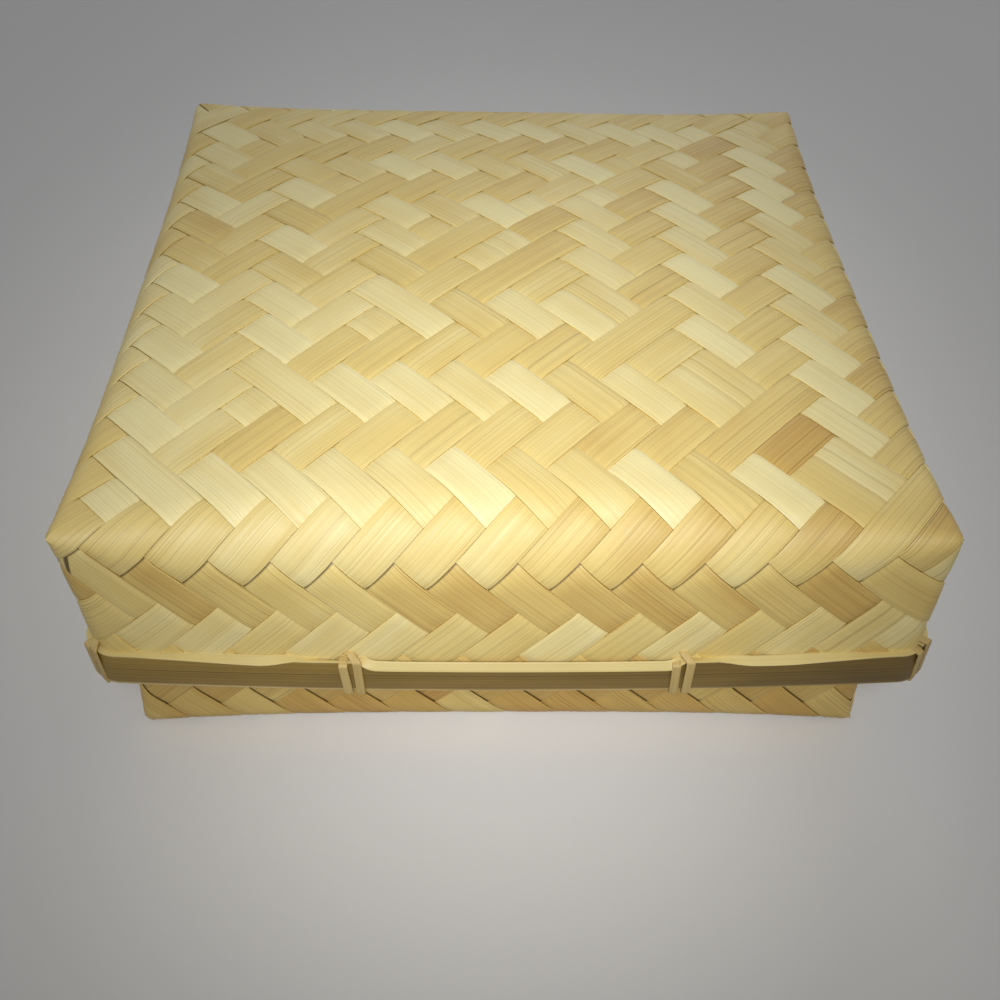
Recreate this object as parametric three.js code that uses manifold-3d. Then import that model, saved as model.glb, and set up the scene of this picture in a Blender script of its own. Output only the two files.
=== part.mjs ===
// A square woven bamboo box with a lift-off lid. The base and the lid are each one bias-woven
// mat, folded up along four sides and stiffened at its mouth: a split-bamboo band lies outside
// the wall and another inside it, a thin runner lies on the outer band's edge, and two-turn
// lashings pass through slots in the mat and bind the four layers together.
//
// Millimetres, +Z up. The origin is the centre of the face that the base rests on.

import * as THREE from "three";
import { mergeVertices } from "three/addons/utils/BufferGeometryUtils.js";
import Module from "manifold-3d";

const wasm = await Module();
wasm.setup();

// Sizes of the whole box
const LID_SIDE = 200;
const LID_DEPTH = 49.4;
const BASE_SHOWING = 27.8;
const LID_RISE = 9.8;

// Sizes of the woven mats
const MAT = 1.4;
const TIGHTEST_FOLD = 0.5;
const LID_SHOULDER = 9;
const LID_FRONT_SHOULDER = 16;
const BASE_SHOULDER = 7;
const MOUTH_CORNER = 7.5;
const LID_FLARE = 0.3;
const BASE_DRAW = 3.2;
const LID_BELLY = 3.1;
const BASE_BELLY = 0.8;

// Sizes of the rim pieces
const BAND_HEIGHT = 9.6;
const BAND_CROWN = 0.3;
const LID_OUTER_BAND = 0.9;
const BASE_OUTER_BAND = 1.4;
const LID_BAND_CORNER = 13;
const BASE_BAND_CORNER = 9.5;
const INNER_BAND = 2.2;
const INNER_BAND_SHOWING = 1;
const RUNNER = 0.6;
const RUNNER_TILT = 1.1;
const RUNNER_ABOVE = 0.8;
const RUNNER_BELOW = 2;
const RUNNER_SETTLES = 14;
const RUNNER_STEPS = 80;
const LASH = 0.5;
const LASH_WIDTH = 2.3;
const TURN_GAP = 1;
const BRIDGE_DEPTH = 2;
const TIE_REACH = 39.7;
const TIE_DRIFT = 3;
const SCARF_LAP = 24;

// Clearances
const TOUCH = 0.3;
const SLIDE = 0.6;
const OVERRUN = 6;

const SIDES = ["front", "right", "back", "left"];
const CORNERS = ["front_right", "back_right", "back_left", "front_left"];

// How far a lashing reaches in from the wall's outer face on the lid, and out from it on the base
const lidInwards = MAT + TOUCH + INNER_BAND + TOUCH + LASH;
const baseOutwards = BASE_BELLY + TOUCH + BASE_OUTER_BAND + BAND_CROWN + TOUCH + LASH;

// The base's mouth leaves the slide's clearance between its lashings and those inside the lid.
const lidFold = BASE_SHOWING + LID_DEPTH;
const underRoof = lidFold - MAT - TOUCH - LASH - TOUCH;
const rimTaper = (BASE_DRAW * BAND_HEIGHT) / underRoof;
const lidMouth = LID_SIDE / 2 + LID_FLARE;
const baseMouth = lidMouth - lidInwards - SLIDE - baseOutwards - rimTaper;

const mix = (from, to, share) => from + (to - from) * share;

const lid = {
  name: "lid",
  foldHeight: lidFold,
  wallRuns: -1,
  half: LID_SIDE / 2,
  lean: LID_FLARE,
  belly: LID_BELLY,
  depth: LID_DEPTH,
  shoulders: [LID_FRONT_SHOULDER, LID_SHOULDER, LID_SHOULDER, LID_SHOULDER],
  rise: LID_RISE,
  outerBand: LID_OUTER_BAND,
  bandCorner: LID_BAND_CORNER,
};

// The lid comes down until its rounded front shoulder meets the base's lashings, whose outer
// corners lie highest and furthest out.
const rimReach = baseMouth + baseOutwards + rimTaper;
const shoulderDrop = Math.max(
  ...tieReaches().map((along) => innerDrop(lid, Math.abs(along) / rimReach, rimReach)),
);

const base = {
  name: "base",
  foldHeight: 0,
  wallRuns: 1,
  half: baseMouth + BASE_DRAW,
  lean: -BASE_DRAW,
  belly: BASE_BELLY,
  depth: underRoof - shoulderDrop,
  shoulders: SIDES.map(() => BASE_SHOULDER),
  rise: 0,
  outerBand: BASE_OUTER_BAND,
  bandCorner: BASE_BAND_CORNER,
};

// Shares of a side, from its middle to its corner, at which every ring has a point
const HALF_SIDE_SHARES = [0, 0.3, 0.6, 0.8, 0.9, 0.933, 0.967];
const SIDE_SHARES = [
  -1,
  ...HALF_SIDE_SHARES.slice(1)
    .reverse()
    .map((share) => -share),
  ...HALF_SIDE_SHARES,
];
const ROOF_SHARES = [0.3, 0.55, 0.75, 0.9, 1];
const SHOULDER_TURNS = [0.25, 0.5, 0.75, 1];
const WALL_SHARES = [0.35, 0.7, 1];

// The mat stays pinched to a sharp fold at its corners and rounds over between them, most on
// the lid's front.
function shoulderRadius(mat, side, share) {
  const sharpest = MAT + TIGHTEST_FOLD;
  return mix(sharpest, mat.shoulders[side], 1 - Math.abs(share) ** 3);
}

// The wall's corners are sharp at the fold, and open out most just below it.
function cornerRadius(mat, depth) {
  return mix(MAT + TIGHTEST_FOLD, MOUTH_CORNER, Math.sqrt(depth / mat.depth));
}

// Half the width of the wall's outer face, at a depth from the fold and a share of the side
function halfWidth(mat, share, depth) {
  const lean = mat.lean + mat.belly * (1 - share ** 2);
  return mat.half + (lean * depth) / mat.depth;
}

// How far the front shoulder's inner face has dropped below the roof's, at a place that far out
function innerDrop(mat, share, out) {
  const radius = shoulderRadius(mat, SIDES.indexOf("front"), share);
  const bend = radius - MAT;
  const past = Math.max(0, out - (halfWidth(mat, share, radius) - radius));
  return bend - Math.sqrt(bend ** 2 - past ** 2);
}

// A point of a square with round corners: how far it is along its side, and how far out
function roundedSquare(share, half, radius) {
  const straight = half - radius;
  const walked = Math.abs(share) * (straight + (radius * Math.PI) / 4);
  if (walked <= straight) return [Math.sign(share) * walked, half];
  const turned = (walked - straight) / radius;
  return [
    Math.sign(share) * (straight + radius * Math.sin(turned)),
    straight + radius * Math.cos(turned),
  ];
}

// Side 0 is the front, at -Y, and the sides go round anticlockwise as seen from above.
function onSide(side, along, out, height) {
  return new THREE.Vector3(along, -out, height).applyAxisAngle(
    new THREE.Vector3(0, 0, 1),
    (side * Math.PI) / 2,
  );
}

function heightAt(mat, depth) {
  return mat.foldHeight + mat.wallRuns * depth;
}

// The roof's swelling, which is nothing at the folds
function swelling(mat, point) {
  const [x, y] = [point.x / mat.half, point.y / mat.half];
  return -mat.wallRuns * mat.rise * (1 - x ** 2) * (1 - y ** 2);
}

// Half the width inside the outer band, which is stiff and runs straight from corner to corner.
// So it touches the wall at the middle of each side, where the wall bellies out to it.
function bandHalf(mat, depth) {
  return halfWidth(mat, 0, depth) + TOUCH;
}

// Points of the outer band. An outset is outwards from its inner face.
function bandPoint(mat, side, share, depth, outset) {
  const [along, out] = roundedSquare(
    share,
    bandHalf(mat, depth) + outset,
    mat.bandCorner + outset,
  );
  return onSide(side, along, out, heightAt(mat, depth));
}

// Points of the wall. An inset is inwards from its outer face.
function wallPoint(mat, side, share, depth, inset) {
  const [along, out] = roundedSquare(
    share,
    halfWidth(mat, share, depth) - inset,
    cornerRadius(mat, depth) - inset,
  );
  return onSide(side, along, out, heightAt(mat, depth));
}

// Points of the shoulder, where turn goes from 0 at the roof to 1 at the wall
function shoulderPoint(mat, side, share, turn, inset) {
  const radius = shoulderRadius(mat, side, share);
  const angle = (turn * Math.PI) / 2;
  const bend = radius - inset;
  const half = halfWidth(mat, share, radius) - radius + bend * Math.sin(angle);
  const depth = inset + bend * (1 - Math.cos(angle));
  const corner = (cornerRadius(mat, radius) - inset) * Math.sin(angle);
  const [along, out] = roundedSquare(share, half, corner);
  const point = onSide(side, along, out, heightAt(mat, depth));
  point.z += swelling(mat, point) * Math.cos(angle);
  return point;
}

// Points of the roof, or of the base's floor, where reach goes from 0 at its middle to 1
function roofPoint(mat, side, share, reach, inset) {
  const radius = shoulderRadius(mat, side, share);
  const out = reach * (halfWidth(mat, share, radius) - radius);
  const point = onSide(side, share * out, out, heightAt(mat, inset));
  point.z += swelling(mat, point);
  return point;
}

// One closed ring of points, by a rule that gives the point at a side and a share of it
function ring(rule) {
  return SIDES.flatMap((_, side) => SIDE_SHARES.map((share) => rule(side, share)));
}

// One face of the mat as rings, from the middle of the roof to the mouth
function matRings(mat, inset) {
  const roof = ROOF_SHARES.map((reach) =>
    ring((side, share) => roofPoint(mat, side, share, reach, inset)),
  );
  const shoulder = SHOULDER_TURNS.map((turn) =>
    ring((side, share) => shoulderPoint(mat, side, share, turn, inset)),
  );
  const wall = WALL_SHARES.map((drop) =>
    ring((side, share) => {
      const depth = mix(shoulderRadius(mat, side, share), mat.depth, drop);
      return wallPoint(mat, side, share, depth, inset);
    }),
  );
  return [...roof, ...shoulder, ...wall];
}

// A closed body from its vertices and faces, turned so that its faces point out
function closedBody(points, faces) {
  const volume = faces.reduce((sum, [a, b, c]) => {
    const cross = points[b].clone().cross(points[c]);
    return sum + points[a].dot(cross);
  }, 0);
  const indices = faces.flatMap(([a, b, c]) => (volume > 0 ? [a, b, c] : [a, c, b]));
  const geometry = new THREE.BufferGeometry().setFromPoints(points);
  geometry.setIndex(indices);
  return geometry;
}

// Two triangles for each step between one ring and the next
function bridgeRings(first, second, count) {
  return Array.from({ length: count }, (_, step) => {
    const next = (step + 1) % count;
    return [
      [first + step, first + next, second + next],
      [first + step, second + next, second + step],
    ];
  }).flat();
}

// The skin that rings make in their order, closed by a point at each end
function ringedShell(start, rings, end) {
  const count = rings[0].length;
  const points = [start, ...rings.flat(), end];
  const last = points.length - 1;
  const faces = [];
  for (let step = 0; step < count; step += 1) {
    const next = (step + 1) % count;
    faces.push([0, 1 + next, 1 + step]);
    faces.push([last, last - count + step, last - count + next]);
  }
  for (let level = 0; level + 1 < rings.length; level += 1) {
    faces.push(...bridgeRings(1 + level * count, 1 + (level + 1) * count, count));
  }
  return closedBody(points, faces);
}

// A hoop whose section has one ring for each of its corners
function hoop(rings) {
  const count = rings[0].length;
  const faces = rings.flatMap((_, level) => {
    const next = (level + 1) % rings.length;
    return bridgeRings(level * count, next * count, count);
  });
  return closedBody(rings.flat(), faces);
}

// A strap from its sections in order, each a list of four corners, with flat ends
function strap(sections) {
  const last = 4 * (sections.length - 1);
  const faces = [
    [0, 1, 2],
    [0, 2, 3],
    [last, last + 2, last + 1],
    [last, last + 3, last + 2],
  ];
  for (let section = 0; section + 1 < sections.length; section += 1) {
    faces.push(...bridgeRings(4 * (section + 1), 4 * section, 4));
  }
  return closedBody(sections.flat(), faces);
}

function solidOf(geometry) {
  const bare = geometry.clone();
  bare.deleteAttribute("normal");
  bare.deleteAttribute("uv");
  const merged = mergeVertices(bare);
  return new wasm.Manifold(
    new wasm.Mesh({
      numProp: 3,
      vertProperties: new Float32Array(merged.attributes.position.array),
      triVerts: new Uint32Array(merged.index.array),
    }),
  );
}

function geometryOf(solid) {
  const { vertProperties, triVerts } = solid.getMesh();
  const geometry = new THREE.BufferGeometry();
  geometry.setAttribute("position", new THREE.BufferAttribute(vertProperties, 3));
  geometry.setIndex(new THREE.BufferAttribute(triVerts, 1));
  return geometry;
}

// Depths from the fold of the rim's levels
function rimDepths(mat) {
  const bandEnd = mat.depth - INNER_BAND_SHOWING;
  const bandStart = bandEnd - BAND_HEIGHT;
  const runnerStart = bandStart - TOUCH - RUNNER;
  return {
    bandStart,
    bandEnd,
    runnerStart,
    runnerEnd: bandStart - TOUCH,
    lashStart: runnerStart - TOUCH,
    lashEnd: mat.depth + TOUCH,
  };
}

// The outer band, whose bark face is slightly crowned, as the culm that it was split from
function outerBandGeometry(mat) {
  const { bandStart, bandEnd } = rimDepths(mat);
  const face = mat.outerBand;
  const corner = (depth, outset) =>
    ring((side, share) => bandPoint(mat, side, share, depth, outset));
  return hoop([
    corner(bandStart, 0),
    corner(bandStart, face),
    corner(mix(bandStart, bandEnd, 0.5), face + BAND_CROWN),
    corner(bandEnd, face),
    corner(bandEnd, 0),
  ]);
}

function innerBandGeometry(mat) {
  const { bandEnd } = rimDepths(mat);
  const bandStart = bandEnd + INNER_BAND_SHOWING - BAND_HEIGHT;
  const back = MAT + TOUCH;
  const corner = (depth, inset) =>
    ring((side, share) => wallPoint(mat, side, share, depth, inset));
  return hoop([
    corner(bandStart, back),
    corner(bandStart, back + INNER_BAND),
    corner(mat.depth, back + INNER_BAND),
    corner(mat.depth, back),
  ]);
}

// A band is one length, bent round the box, and its two ends meet in a long slanting scarf.
function scarfCut(mat, side) {
  const reach = mat.half + OVERRUN;
  const cut = new THREE.BoxGeometry(
    SCARF_LAP + 2 * OVERRUN,
    reach - mat.half / 2,
    TOUCH,
  );
  cut.rotateY(Math.atan2(BAND_HEIGHT, SCARF_LAP));
  cut.translate(0, -mix(mat.half / 2, reach, 0.5), heightAt(mat, mat.depth - BAND_HEIGHT / 2));
  cut.rotateZ((side * Math.PI) / 2);
  return cut;
}

// Where a side's two ties are. The binder works anticlockwise, and each pair has drifted that way.
function tieReaches() {
  return [TIE_DRIFT - TIE_REACH, TIE_DRIFT + TIE_REACH];
}

// Where along a side a runner has a section: from its left end, -1, to its right one, 1
function runnerShares() {
  return Array.from({ length: RUNNER_STEPS + 1 }, (_, step) => (2 * step) / RUNNER_STEPS - 1);
}

// A runner lies flat on the band's edge where it is tied, and between the ties it leans out over
// that edge. This is 0 where it lies flat and 1 where it leans out.
function runnerLean(mat, share) {
  const half = bandHalf(mat, mat.depth);
  const away = Math.min(
    ...tieReaches().map((along) => Math.abs(share * half - along)),
    (1 - Math.abs(share)) * half - mat.bandCorner,
  );
  return THREE.MathUtils.smoothstep(away, LASH_WIDTH + TURN_GAP, RUNNER_SETTLES);
}

// It turns about the band's outer edge, which it touches all the way.
function runnerGeometry(mat, side) {
  const { bandStart } = rimDepths(mat);
  const edge = mat.outerBand;
  return strap(
    runnerShares().map((share) => {
      const lean = runnerLean(mat, share);
      const [out, down] = [Math.cos(lean * RUNNER_TILT), Math.sin(lean * RUNNER_TILT)];
      const inner = -mix(edge + TOUCH, RUNNER_ABOVE, lean);
      const outer = mix(TOUCH, RUNNER_BELOW, lean);
      const corner = (reach, lift) =>
        bandPoint(
          mat,
          side,
          share,
          bandStart + reach * down - lift * out,
          edge + reach * out + lift * down,
        );
      return [
        corner(inner, TOUCH + RUNNER),
        corner(outer, TOUCH + RUNNER),
        corner(outer, TOUCH),
        corner(inner, TOUCH),
      ];
    }),
  );
}

// How far out a face of the wall lies from the middle line, on a side or through a corner, and
// as far aside of that line as is asked
function faceReach(mat, share, depth, inset, aside) {
  const half = halfWidth(mat, share, depth) - inset;
  if (share < 1) return half;
  const radius = cornerRadius(mat, depth) - inset;
  if (aside > radius * Math.SQRT1_2) return half * Math.SQRT2 - aside;
  return (half - radius) * Math.SQRT2 + Math.sqrt(radius ** 2 - aside ** 2);
}

// How far out the outer band's inner face lies, on a side or through a corner
function bandReach(mat, share, depth) {
  const half = bandHalf(mat, depth);
  return share < 1 ? half : (half - mat.bandCorner) * Math.SQRT2 + mat.bandCorner;
}

// How far out the inner and outer faces of a lashing's loop lie. Its legs are flat, so at a
// corner the inner leg is held off by the corner's sides, and the outer one by its middle.
function loopReach(mat, share) {
  const { bandStart } = rimDepths(mat);
  const levels = [bandStart, mat.depth];
  const inset = MAT + TOUCH + INNER_BAND + TOUCH;
  const outset = mat.outerBand + BAND_CROWN + TOUCH;
  const halfTie = LASH_WIDTH + TURN_GAP / 2;
  return {
    near: Math.min(...levels.map((depth) => faceReach(mat, share, depth, inset, halfTie))),
    far: Math.max(...levels.map((depth) => bandReach(mat, share, depth) + outset)),
  };
}

// One turn of a lashing: a flat strip bent into a rectangle round the rim's four layers
function turnGeometry(mat, reach, offset) {
  const { lashStart, lashEnd } = rimDepths(mat);
  const [low, high] = [heightAt(mat, lashStart), heightAt(mat, lashEnd)].sort((a, b) => a - b);
  const outline = (margin) => [
    new THREE.Vector2(reach.near - margin, low - margin),
    new THREE.Vector2(reach.far + margin, low - margin),
    new THREE.Vector2(reach.far + margin, high + margin),
    new THREE.Vector2(reach.near - margin, high + margin),
  ];
  const shape = new THREE.Shape(outline(LASH));
  shape.holes.push(new THREE.Path(outline(0)));
  const turn = new THREE.ExtrudeGeometry(shape, { depth: LASH_WIDTH, bevelEnabled: false });
  turn.translate(0, 0, offset - LASH_WIDTH / 2);
  turn.rotateX(Math.PI / 2);
  turn.rotateZ(-Math.PI / 2);
  return turn;
}

// A lashing: two turns side by side, with a bridge where the strip crosses from one to the other
function lashingGeometry(mat, share) {
  const reach = loopReach(mat, share);
  const offset = (LASH_WIDTH + TURN_GAP) / 2;
  const crossing = heightAt(mat, rimDepths(mat).lashStart - LASH / 2);
  const bridge = new THREE.BoxGeometry(2 * offset, BRIDGE_DEPTH, LASH);
  bridge.translate(0, -(reach.far + LASH - BRIDGE_DEPTH / 2), crossing);
  return geometryOf(
    solidOf(turnGeometry(mat, reach, -offset))
      .add(solidOf(turnGeometry(mat, reach, offset)))
      .add(solidOf(bridge)),
  );
}

// The slot in the mat that a lashing's two turns pass through
function slotGeometry(mat, share) {
  const { lashStart } = rimDepths(mat);
  const reach = loopReach(mat, share);
  const slot = new THREE.BoxGeometry(
    2 * (LASH_WIDTH + TOUCH) + TURN_GAP,
    reach.far - reach.near,
    LASH + 2 * TOUCH,
  );
  slot.translate(0, -mix(reach.near, reach.far, 0.5), heightAt(mat, lashStart - LASH / 2));
  return slot;
}

// Where the lashings are: two on each side, and one at each corner
function lashingPlaces(mat) {
  const half = halfWidth(mat, 0, mat.depth);
  return SIDES.flatMap((side, index) => [
    ...tieReaches().map((along, pair) => ({
      name: `${side}_${pair + 1}`,
      share: Math.abs(along) / half,
      along,
      turn: (index * Math.PI) / 2,
    })),
    { name: CORNERS[index], share: 1, along: 0, turn: ((index + 0.5) * Math.PI) / 2 },
  ]);
}

// The folded mat, with a slot for each lashing
function matGeometry(mat) {
  const outer = matRings(mat, 0);
  const inner = matRings(mat, MAT);
  const middle = (inset) => roofPoint(mat, 0, 0, 0, inset);
  const shell = ringedShell(middle(0), [...outer, ...inner.reverse()], middle(MAT));
  return geometryOf(
    lashingPlaces(mat).reduce((solid, { share, along, turn }) => {
      const slot = slotGeometry(mat, share).translate(along, 0, 0).rotateZ(turn);
      return solid.subtract(solidOf(slot));
    }, solidOf(shell)),
  );
}

const MATERIALS = {
  weave: new THREE.MeshStandardMaterial({ color: 0xd9c183, roughness: 0.55, metalness: 0 }),
  bark: new THREE.MeshStandardMaterial({ color: 0x7d6840, roughness: 0.45, metalness: 0 }),
  splitWood: new THREE.MeshStandardMaterial({ color: 0xcbb27a, roughness: 0.6, metalness: 0 }),
  lashing: new THREE.MeshStandardMaterial({ color: 0xd2bd84, roughness: 0.55, metalness: 0 }),
};

function piece(name, geometry, material) {
  const mesh = new THREE.Mesh(geometry, material);
  mesh.name = name;
  return mesh;
}

// One half of the box: its mat, its two bands, its four runners and its twelve lashings
function boxHalf(mat) {
  const half = new THREE.Group();
  half.add(piece(`${mat.name}_woven_mat`, matGeometry(mat), MATERIALS.weave));

  const scarfed = (geometry, side) =>
    geometryOf(solidOf(geometry).subtract(solidOf(scarfCut(mat, side))));
  half.add(
    piece(
      `${mat.name}_rim_outer_band`,
      scarfed(outerBandGeometry(mat), SIDES.indexOf("back")),
      MATERIALS.bark,
    ),
    piece(
      `${mat.name}_rim_inner_band`,
      scarfed(innerBandGeometry(mat), SIDES.indexOf("left")),
      MATERIALS.splitWood,
    ),
  );

  SIDES.forEach((side, index) => {
    half.add(piece(`${mat.name}_runner_${side}`, runnerGeometry(mat, index), MATERIALS.lashing));
  });

  for (const { name, share, along, turn } of lashingPlaces(mat)) {
    const turned = new THREE.Group();
    turned.rotation.z = turn;
    const tie = piece(`${mat.name}_lashing_${name}`, lashingGeometry(mat, share), MATERIALS.lashing);
    tie.position.x = along;
    turned.add(tie);
    half.add(turned);
  }
  return half;
}

const box = new THREE.Group();
box.add(boxHalf(base), boxHalf(lid));

export default box;
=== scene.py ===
# %% [markdown]
# # A woven bamboo box
#
# A square box of split bamboo: a shallow base, and a lid that slides down over it. Each half is
# one mat of flat strips in a two-over, two-under twill, folded down along its four sides. A band
# of bamboo with its bark outwards stiffens each mouth, and a thin strip is lashed round it.
#
# All lengths are in millimetres until a mesh is laid, because that is how the box is measured.

# %% Set up
import math

import bpy
import numpy as np
from mathutils import Matrix, Vector


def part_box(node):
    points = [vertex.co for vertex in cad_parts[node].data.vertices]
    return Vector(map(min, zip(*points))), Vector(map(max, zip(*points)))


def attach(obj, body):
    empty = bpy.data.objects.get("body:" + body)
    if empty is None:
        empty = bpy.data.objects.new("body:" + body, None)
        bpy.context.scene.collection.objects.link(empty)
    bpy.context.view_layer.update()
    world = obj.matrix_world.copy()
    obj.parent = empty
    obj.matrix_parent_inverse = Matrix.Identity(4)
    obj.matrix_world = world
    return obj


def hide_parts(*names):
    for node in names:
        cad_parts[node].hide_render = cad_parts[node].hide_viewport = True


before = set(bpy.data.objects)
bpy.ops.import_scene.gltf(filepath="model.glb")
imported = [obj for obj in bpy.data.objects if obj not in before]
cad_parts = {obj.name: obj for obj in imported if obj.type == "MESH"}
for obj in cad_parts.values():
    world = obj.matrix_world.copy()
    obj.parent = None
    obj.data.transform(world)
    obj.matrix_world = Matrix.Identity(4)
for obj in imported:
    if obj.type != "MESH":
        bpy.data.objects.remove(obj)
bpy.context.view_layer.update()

scene = bpy.context.scene
scene.view_settings.view_transform = "Standard"
bpy.ops.object.select_all(action="DESELECT")

MM = 0.001
rng = np.random.default_rng(29)


def box_of(node):
    """The lowest and highest corner of a node of the frame, in millimetres."""
    low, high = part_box(node)
    return np.array(low) / MM, np.array(high) / MM


print("The frame holds", len(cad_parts), "nodes")

# %% [markdown]
# ## Camera
#
# The box was photographed from in front, looking 45 degrees down. The camera's place was worked
# out from the lid's four corners, the rim's lines and the weave's crossings. It is in metres.

# %% Camera
CAMERA_PLACE = (-0.01055, -0.26894, 0.25915)
SENSOR = 36
LENS = 41.66
PITCH_DOWN = 45.08
YAW = -2.656
ROLL = 2.121

bpy.ops.object.camera_add()
camera = bpy.context.object
camera.name = "camera"
camera.data.sensor_width = SENSOR
camera.data.lens = LENS
camera.matrix_world = (
    Matrix.Translation(CAMERA_PLACE)
    @ Matrix.Rotation(math.radians(YAW), 4, "Z")
    @ Matrix.Rotation(math.radians(90 - PITCH_DOWN), 4, "X")
    @ Matrix.Rotation(math.radians(ROLL), 4, "Z")
)
scene.camera = camera

# %% [markdown]
# ## The mats' shape
#
# A mat is described twice. As a shape it has a flat or domed roof, a shoulder that is round in
# the middle of a side and pinched to a sharp fold at the corners, and a wall that bellies out. As
# a weave it is a lattice whose step is half a strip's width across the corners, and whose folds
# lie on whole lines. The two are tied together here, so that a strip can be followed over the
# roof, round the shoulder and down the wall.
#
# Sides are numbered anticlockwise from the front: front, right, back, left.

# %% The mats' shape
MAT = 1.4
SHARPEST_FOLD = MAT + 0.5
MOUTH_CORNER = 7.5
TOUCH = 0.3
LID_RISE = 9.8
LID_FLARE = 0.3
LID_BELLY = 3.1
BASE_DRAW = 3.2
BASE_BELLY = 0.8
BASE_CELLS = 27
HALF_SIDES = 8
EIGHTH = math.pi / 4

# Powers that tell how close to a corner the shoulder stays wide, and the weave keeps its place.
SHOULDER_POWER = 3
SLIP_POWER = 8
# Past a fold the weave keeps the roof's spacing, and gives it up over this many cells.
EVENS_OUT = 3.0

SIDES = ["front", "right", "back", "left"]
CORNERS = ["front_right", "back_right", "back_left", "front_left"]


def by_side(values, side):
    return np.asarray(values, float)[side]


def round_square(side, walk, half, corner, height):
    """Points of a square with round corners, at a share walked from a side's middle to its end."""
    straight = half - corner
    walked = np.abs(walk) * (straight + corner * EIGHTH)
    turned = np.maximum(0, walked - straight) / corner
    along = np.sign(walk) * (np.minimum(walked, straight) + corner * np.sin(turned))
    away = straight + corner * np.cos(turned)
    angle = side * math.pi / 2
    x = along * np.cos(angle) + away * np.sin(angle)
    y = along * np.sin(angle) - away * np.cos(angle)
    return np.stack(np.broadcast_arrays(x, y, height), axis=-1)


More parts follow.
